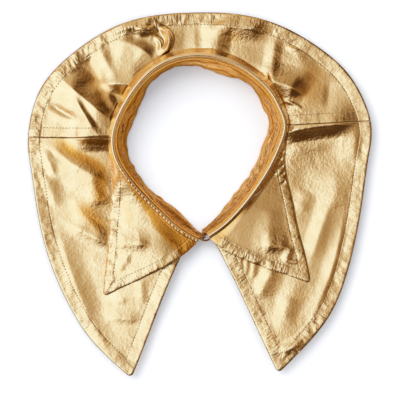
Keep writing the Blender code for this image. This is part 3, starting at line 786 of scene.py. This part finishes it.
def stitches(name, rows, piece, finish):
    """Short threads in rows along plan paths, lying in their groove on a piece."""
    height = surface_of(piece)
    bm = bmesh.new()
    for path in rows:
        if len(path) < 3:
            continue
        run = np.concatenate([[0.0], np.cumsum(np.linalg.norm(np.diff(path, axis=0), axis=1))])
        jumps = np.flatnonzero(np.diff(run) > 6.0)
        for place in np.arange(STITCH_PITCH / 2, run[-1] - STITCH_LONG / 2, STITCH_PITCH):
            if any(run[k] < place < run[k + 1] for k in jumps):
                continue
            x, y = (np.interp(place, run, path[:, k]) for k in (0, 1))
            ahead_x, ahead_y = (np.interp(place + 0.8, run, path[:, k]) for k in (0, 1))
            z, ahead_z = height(x, y), height(ahead_x, ahead_y)
            if z is None or ahead_z is None:
                continue
            along = Vector((ahead_x - x, ahead_y - y, ahead_z - z)).normalized()
            turn = along.to_track_quat("X", "Z").to_matrix().to_4x4()
            shape = Matrix.Diagonal((STITCH_LONG / 2, STITCH_THICK / 2, STITCH_THICK / 2, 1.0))
            spot = Matrix.Translation((x, y, z + STITCH_THICK * 0.2))
            bmesh.ops.create_uvsphere(bm, u_segments=6, v_segments=5, radius=1.0,
                                      matrix=Matrix.Scale(MM, 4) @ spot @ turn @ shape)
    mesh = bpy.data.meshes.new(name)
    bm.to_mesh(mesh)
    bm.free()
    mesh.shade_smooth()
    mesh.materials.append(finish)
    made = bpy.data.objects.new(name, mesh)
    bpy.context.scene.collection.objects.link(made)
    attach(made, "root")
    return made


# Materials

def nodes_of(name):
    made = bpy.data.materials.new(name)
    made.use_nodes = True
    tree = made.node_tree
    return made, tree.nodes, tree.links, tree.nodes["Principled BSDF"]


def noise(nodes, links, coords, size, detail=3.0, rough=0.55):
    """A noise whose grains are about size millimetres across."""
    node = nodes.new("ShaderNodeTexNoise")
    node.inputs["Scale"].default_value = 1 / (size * MM)
    node.inputs["Detail"].default_value = detail
    node.inputs["Roughness"].default_value = rough
    links.new(coords, node.inputs["Vector"])
    return node.outputs["Fac"]


def spread(nodes, links, value, low, high, to_low, to_high):
    node = nodes.new("ShaderNodeMapRange")
    node.inputs["From Min"].default_value = low
    node.inputs["From Max"].default_value = high
    node.inputs["To Min"].default_value = to_low
    node.inputs["To Max"].default_value = to_high
    links.new(value, node.inputs["Value"])
    return node.outputs["Result"]


def number(nodes, links, what, first, second):
    """One sum or product of two values, either of which may be a plain number."""
    node = nodes.new("ShaderNodeMath")
    node.operation = what
    for socket, value in zip(node.inputs, (first, second)):
        if isinstance(value, float):
            socket.default_value = value
        else:
            links.new(value, socket)
    return node.outputs["Value"]


def marks(nodes, links, name):
    """The three values that the leather carries under that name."""
    mark = nodes.new("ShaderNodeAttribute")
    mark.attribute_name = name
    split = nodes.new("ShaderNodeSeparateXYZ")
    links.new(mark.outputs["Vector"], split.inputs["Vector"])
    return split.outputs["X"], split.outputs["Y"], split.outputs["Z"]


def foil(name, bright, deep, painted_shade, rim, rough_low, rough_high, coat, pucker, streaked):
    """Metal foil on grained leather. Its tone and gloss vary, grain, crinkles and puckers break up what it
    mirrors. It takes a paler colour as painted highlight where painted_light is above nought, and the
    painted_shade colour as painted shade where that is below nought, and it is darker in a thin line along
    the panels' outer edge. pucker is a pucker's size along and across, in millimetres. streaked foil takes
    its tone from the puckers, darker in their hollows as painted shade, and rim is its tint seen edge on."""
    made, nodes, links, shader = nodes_of(name)
    coords = nodes.new("ShaderNodeTexCoord").outputs["Object"]
    along, away, draw = marks(nodes, links, "edge")
    row, painted_light, crinkle = marks(nodes, links, "row_light_crinkle")
    join = nodes.new("ShaderNodeCombineXYZ")
    links.new(number(nodes, links, "DIVIDE", along, pucker[0]), join.inputs["X"])
    links.new(number(nodes, links, "DIVIDE", away, pucker[1]), join.inputs["Y"])
    drawn_in = noise(nodes, links, join.outputs["Vector"], 1 / MM, 2.0, 0.5)
    # streaked foil: darker in the puckers' hollows, as painted shade
    tone = drawn_in if streaked else noise(nodes, links, coords, 9.0, 4.0, 0.6)
    ramp = nodes.new("ShaderNodeValToRGB")
    ramp.color_ramp.elements[0].position = 0.32
    ramp.color_ramp.elements[0].color = (*deep, 1.0)
    ramp.color_ramp.elements[1].position = 0.68
    ramp.color_ramp.elements[1].color = (*bright, 1.0)
    links.new(tone, ramp.inputs["Fac"])
    # painted highlight: paler where painted_light is above nought
    paler = nodes.new("ShaderNodeMix")
    paler.data_type = "RGBA"
    links.new(painted_light, paler.inputs["Factor"])
    links.new(ramp.outputs["Color"], paler.inputs[6])
    paler.inputs[7].default_value = (*PAINTED_HIGHLIGHT, 1.0)
    colour = paler.outputs[2]
    # painted shade where painted_light is below nought, then a thin dark line along the panels' outer edge
    for share, other in ((number(nodes, links, "MULTIPLY", painted_light, -1.0), painted_shade),
                         (spread(nodes, links, away, 0.3, 0.7, 1.0, 0.0), EDGE_LINE_COLOUR)):
        mix = nodes.new("ShaderNodeMix")
        mix.data_type = "RGBA"
        links.new(share, mix.inputs["Factor"])
        links.new(colour, mix.inputs[6])
        mix.inputs[7].default_value = (*other, 1.0)
        colour = mix.outputs[2]
    links.new(colour, shader.inputs["Base Color"])
    gloss = noise(nodes, links, coords, 14.0, 3.0, 0.5)
    links.new(spread(nodes, links, gloss, 0.3, 0.7, rough_low, rough_high), shader.inputs["Roughness"])
    shader.inputs["Metallic"].default_value = 1.0
    shader.inputs["Specular Tint"].default_value = (*rim, 1.0)
    shader.inputs["Coat Weight"].default_value = coat
    shader.inputs["Coat Roughness"].default_value = 0.25
    grain = nodes.new("ShaderNodeTexVoronoi")
    grain.feature = "DISTANCE_TO_EDGE"
    grain.inputs["Scale"].default_value = 1 / (1.1 * MM)
    links.new(coords, grain.inputs["Vector"])
    height = spread(nodes, links, grain.outputs["Distance"], 0.0, 0.25, 0.0, GRAIN_DEEP)
    crumple = number(nodes, links, "MULTIPLY", noise(nodes, links, coords, 2.0, 2.0, 0.5), CRUMPLE_DEEP)
    height = number(nodes, links, "ADD", height, number(nodes, links, "MULTIPLY", crumple, crinkle))
    uneven = spread(nodes, links, noise(nodes, links, coords, 7.0, 1.0), 0.35, 0.65, 0.15, 1.3)
    puckers = number(nodes, links, "MULTIPLY", number(nodes, links, "MULTIPLY", drawn_in, PUCKER_DEEP), uneven)
    height = number(nodes, links, "ADD", height, number(nodes, links, "MULTIPLY", puckers, draw))
    sunk = nodes.new("ShaderNodeMapRange")
    sunk.interpolation_type = "SMOOTHSTEP"
    sunk.inputs["From Max"].default_value = GROOVE_WIDE
    sunk.inputs["To Min"].default_value = -GROOVE_DEEP
    sunk.inputs["To Max"].default_value = 0.0
    links.new(row, sunk.inputs["Value"])
    height = number(nodes, links, "ADD", height, sunk.outputs["Result"])
    bump = nodes.new("ShaderNodeBump")
    bump.inputs["Distance"].default_value = MM
    links.new(height, bump.inputs["Height"])
    links.new(bump.outputs["Normal"], shader.inputs["Normal"])
    return made


def thread(name, colour):
    made, nodes, links, shader = nodes_of(name)
    coords = nodes.new("ShaderNodeTexCoord").outputs["Object"]
    ramp = nodes.new("ShaderNodeValToRGB")
    ramp.color_ramp.elements[0].color = (*(c * 0.6 for c in colour), 1.0)
    ramp.color_ramp.elements[1].color = (*colour, 1.0)
    links.new(noise(nodes, links, coords, 1.5), ramp.inputs["Fac"])
    links.new(ramp.outputs["Color"], shader.inputs["Base Color"])
    shader.inputs["Roughness"].default_value = 0.55
    return made


def wire_metal(name, colour):
    made, nodes, links, shader = nodes_of(name)
    coords = nodes.new("ShaderNodeTexCoord").outputs["Object"]
    ramp = nodes.new("ShaderNodeValToRGB")
    ramp.color_ramp.elements[0].color = (*(c * 0.7 for c in colour), 1.0)
    ramp.color_ramp.elements[1].color = (*colour, 1.0)
    links.new(noise(nodes, links, coords, 1.0), ramp.inputs["Fac"])
    links.new(ramp.outputs["Color"], shader.inputs["Base Color"])
    shader.inputs["Metallic"].default_value = 1.0
    shader.inputs["Roughness"].default_value = 0.28
    return made


def wire(name, route, node, finish):
    """A bent wire: a smooth tube along its route."""
    curve = bpy.data.curves.new(name, "CURVE")
    curve.dimensions = "3D"
    curve.bevel_depth = WIRE / 2 * MM
    curve.bevel_resolution = 4
    curve.resolution_u = 8
    curve.use_fill_caps = True
    spline = curve.splines.new("BEZIER")
    spline.bezier_points.add(len(route) - 1)
    for point, place in zip(spline.bezier_points, route):
        point.co = Vector(place) * MM
        point.handle_left_type = point.handle_right_type = "AUTO"
    holder = bpy.data.objects.new(name + "_curve", curve)
    bpy.context.scene.collection.objects.link(holder)
    mesh = bpy.data.meshes.new_from_object(holder.evaluated_get(bpy.context.evaluated_depsgraph_get()))
    bpy.data.objects.remove(holder)
    mesh.name = name
    mesh.materials.clear()
    mesh.materials.append(finish)
    mesh.shade_smooth()
    piece = bpy.data.objects.new(name, mesh)
    bpy.context.scene.collection.objects.link(piece)
    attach(piece, "root")
    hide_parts(node)
    return piece


# Stage

def table_top():
    bm = bmesh.new()
    bmesh.ops.create_grid(bm, x_segments=1, y_segments=1, size=4.0)
    mesh = bpy.data.meshes.new("table_top")
    bm.to_mesh(mesh)
    bm.free()
    made, nodes, links, shader = nodes_of("white table")
    shader.inputs["Base Color"].default_value = (0.93, 0.93, 0.94, 1.0)
    shader.inputs["Roughness"].default_value = 0.9
    shader.inputs["Specular IOR Level"].default_value = 0.1
    mesh.materials.append(made)
    floor = bpy.data.objects.new("table_top", mesh)
    floor.location.z = -0.3 * MM
    bpy.context.scene.collection.objects.link(floor)


def area_light(name, place, aim, wide, high, power, colour):
    """A soft lamp for the table. The foil mirrors the room instead of it."""
    data = bpy.data.lights.new(name, "AREA")
    data.shape = "RECTANGLE"
    data.size = wide
    data.size_y = high
    data.energy = power
    data.color = colour
    lamp = bpy.data.objects.new(name, data)
    lamp.location = place
    lamp.rotation_euler = (Vector(aim) - Vector(place)).to_track_quat("-Z", "Y").to_euler()
    lamp.visible_glossy = False
    bpy.context.scene.collection.objects.link(lamp)


# What the foil mirrors: each row brightens or darkens the room round one direction, in degrees.
# Its full strength reaches inner degrees out, and it has died away at outer.
Patch = namedtuple("Patch", "name turn height inner outer gain")
ROOM_LEVEL = 0.51
ROOM = [
    Patch("window_left", 205.0, 58.0, 0.0, 45.0, 0.45),
    Patch("lamp_left", 180.0, 45.0, 10.0, 52.0, 0.50),
    Patch("window_back", 102.0, 60.0, 0.0, 38.0, 0.17),
    Patch("dark_right", 20.0, 42.0, 12.0, 50.0, -0.36),
    Patch("dark_back", 50.0, 46.0, 6.0, 36.0, -0.20),
    Patch("dark_front", 288.0, 36.0, 12.0, 50.0, -0.62),
]
ROOM_SIDES = {"left": (0.72, 0.46, 0.17), "right": (0.16, 0.085, 0.025)}  # near the level of the table

# The room's tone at each level: warm and dark between the lamps, white on them.
Tone = namedtuple("Tone", "level red green blue")
ROOM_TONES = [
    Tone(0.00, 0.069, 0.028, 0.005),
    Tone(0.15, 0.207, 0.106, 0.034),
    Tone(0.30, 0.374, 0.243, 0.118),
    Tone(0.50, 0.580, 0.468, 0.325),
    Tone(0.68, 0.762, 0.724, 0.665),
    Tone(0.85, 0.927, 1.004, 1.130),
    Tone(1.00, 1.035, 1.233, 1.560),
]


def room(nodes, links):
    """The room's colour in each direction."""
    coords = nodes.new("ShaderNodeTexCoord").outputs["Generated"]
    level = ROOM_LEVEL
    for patch in ROOM:
        turn, height = np.radians([patch.turn, patch.height])
        facing = nodes.new("ShaderNodeVectorMath")
        facing.operation = "DOT_PRODUCT"
        facing.inputs[1].default_value = (np.cos(height) * np.cos(turn), np.cos(height) * np.sin(turn),
                                          np.sin(height))
        links.new(coords, facing.inputs[0])
        angle = number(nodes, links, "ARCCOSINE", facing.outputs["Value"], 0.0)
        near = nodes.new("ShaderNodeMapRange")
        near.interpolation_type = "SMOOTHSTEP"
        near.inputs["From Min"].default_value = np.radians(patch.outer)
        near.inputs["From Max"].default_value = np.radians(patch.inner)
        near.inputs["To Max"].default_value = patch.gain
        links.new(angle, near.inputs["Value"])
        level = number(nodes, links, "ADD", near.outputs["Result"], level)
    ramp = nodes.new("ShaderNodeValToRGB")
    stops = ramp.color_ramp.elements
    for tone in ROOM_TONES:
        stop = stops[0] if tone is ROOM_TONES[0] else stops[-1] if tone is ROOM_TONES[-1] else stops.new(tone.level)
        stop.position = tone.level
        stop.color = (tone.red, tone.green, tone.blue, 1.0)
    links.new(level, ramp.inputs["Fac"])
    split = nodes.new("ShaderNodeSeparateXYZ")
    links.new(coords, split.inputs["Vector"])
    low = spread(nodes, links, split.outputs["Z"], 0.60, 0.30, 0.0, 1.0)
    sides = nodes.new("ShaderNodeMix")
    sides.data_type = "RGBA"
    towards = number(nodes, links, "SUBTRACT", split.outputs["X"], split.outputs["Y"])
    links.new(spread(nodes, links, towards, -0.2, 0.9, 0.0, 1.0), sides.inputs["Factor"])
    sides.inputs[6].default_value = (*ROOM_SIDES["left"], 1.0)
    sides.inputs[7].default_value = (*ROOM_SIDES["right"], 1.0)
    mix = nodes.new("ShaderNodeMix")
    mix.data_type = "RGBA"
    links.new(low, mix.inputs["Factor"])
    links.new(ramp.outputs["Color"], mix.inputs[6])
    links.new(sides.outputs[2], mix.inputs[7])
    return mix.outputs[2]


def studio():
    """Plain soft light from the upper left. The table sees an even sky, and the foil mirrors the room."""
    scene = bpy.context.scene
    scene.view_settings.view_transform = "Standard"
    world = bpy.data.worlds.new("studio")
    scene.world = world
    world.use_nodes = True
    nodes, links = world.node_tree.nodes, world.node_tree.links
    mix = nodes.new("ShaderNodeMix")
    mix.data_type = "RGBA"
    links.new(nodes.new("ShaderNodeLightPath").outputs["Is Glossy Ray"], mix.inputs["Factor"])
    mix.inputs[6].default_value = (0.86, 0.90, 0.96, 1.0)
    links.new(room(nodes, links), mix.inputs[7])
    links.new(mix.outputs[2], nodes["Background"].inputs["Color"])
    area_light("window_lamp", (-1.8, 1.5, 3.3), (0.0, 0.0, 0.0), 2.7, 2.7, 78.0, (1.0, 0.985, 0.96))


def camera():
    data = bpy.data.cameras.new("from_above")
    data.sensor_width = SENSOR
    data.lens = SENSOR * CAMERA_HIGH / (PIXEL * VIEW_PIXELS)
    data.clip_start, data.clip_end = 0.05, 20.0
    made = bpy.data.objects.new("from_above", data)
    made.location = (VIEW_CENTRE[0] * MM, VIEW_CENTRE[1] * MM, CAMERA_HIGH * MM)
    bpy.context.scene.collection.objects.link(made)
    bpy.context.scene.camera = made


camera()
studio()
table_top()

gold = foil("gold foil leather", (0.96, 0.74, 0.41), (0.91, 0.66, 0.33), FOLD_SHADE_COLOUR, (1.0, 0.9, 0.7), 0.12, 0.22, 0.12, (1.7, 6.0), False)
# The stand's foil: a darker, more orange copy of the gold, as painted shade and painted reflection of the gold on
# its inner wall.
gold_stand_shaded = foil("gold foil leather, stand, painted shade", (0.92, 0.56, 0.22), (0.62, 0.31, 0.09), (0.36, 0.14, 0.03),
                  (0.88, 0.52, 0.24), 0.18, 0.30, 0.0, (14.0, 2.0), True)
gold_thread = thread("gold thread", (0.36, 0.20, 0.08))
copper = wire_metal("copper-toned wire", (0.50, 0.23, 0.09))

JOIN = 0.06  # half the gap shown at a shoulder seam
front_left = panel("front_left", 0.0, LEFT_SEAM - JOIN, 190, 130, gold)
back_yoke = panel("back_yoke", LEFT_SEAM + JOIN, RIGHT_SEAM - JOIN, 420, 90, gold)
front_right = panel("front_right", RIGHT_SEAM + JOIN, LENGTH, 190, 130, gold)
neck_stand(gold_stand_shaded)
leaf = collar_leaf(gold)

rim = moved_in(plan("rim", np.linspace(0.0, LENGTH, 520)), RIM_STITCH, PANEL_OUTLINE)
stitches("yoke_stitching", [rim, LEFT_SEAM_ROW, RIGHT_SEAM_ROW], back_yoke, gold_thread)
stitches("front_left_stitching", [rim, moved_in(panel_cut(0.0)[20:], RIM_STITCH, PANEL_OUTLINE)], front_left,
         gold_thread)
stitches("front_right_stitching", [rim, moved_in(panel_cut(LENGTH)[20:], -RIM_STITCH, PANEL_OUTLINE)], front_right,
         gold_thread)
leaf_side = moved_in(plan("leaf", np.linspace(0.0, LENGTH, 520)), LEAF_STITCH, LEAF_OUTLINE)
left_side, right_side = (leaf_side[keep & (leaf_side[:, 1] < 26.0)] for keep in
                         (leaf_side[:, 0] < -20.0, leaf_side[:, 0] > 20.0))
stitches("leaf_stitching", [left_side, right_side, moved_in(leaf_cut(0.0)[12:], LEAF_STITCH, LEAF_OUTLINE),
                            moved_in(leaf_cut(LENGTH)[12:], -LEAF_STITCH, LEAF_OUTLINE)], leaf, gold_thread)

wire("eye_wire", EYE_ROUTE, "eye", copper)
wire("hook_wire", HOOK_ROUTE, "hook", copper)
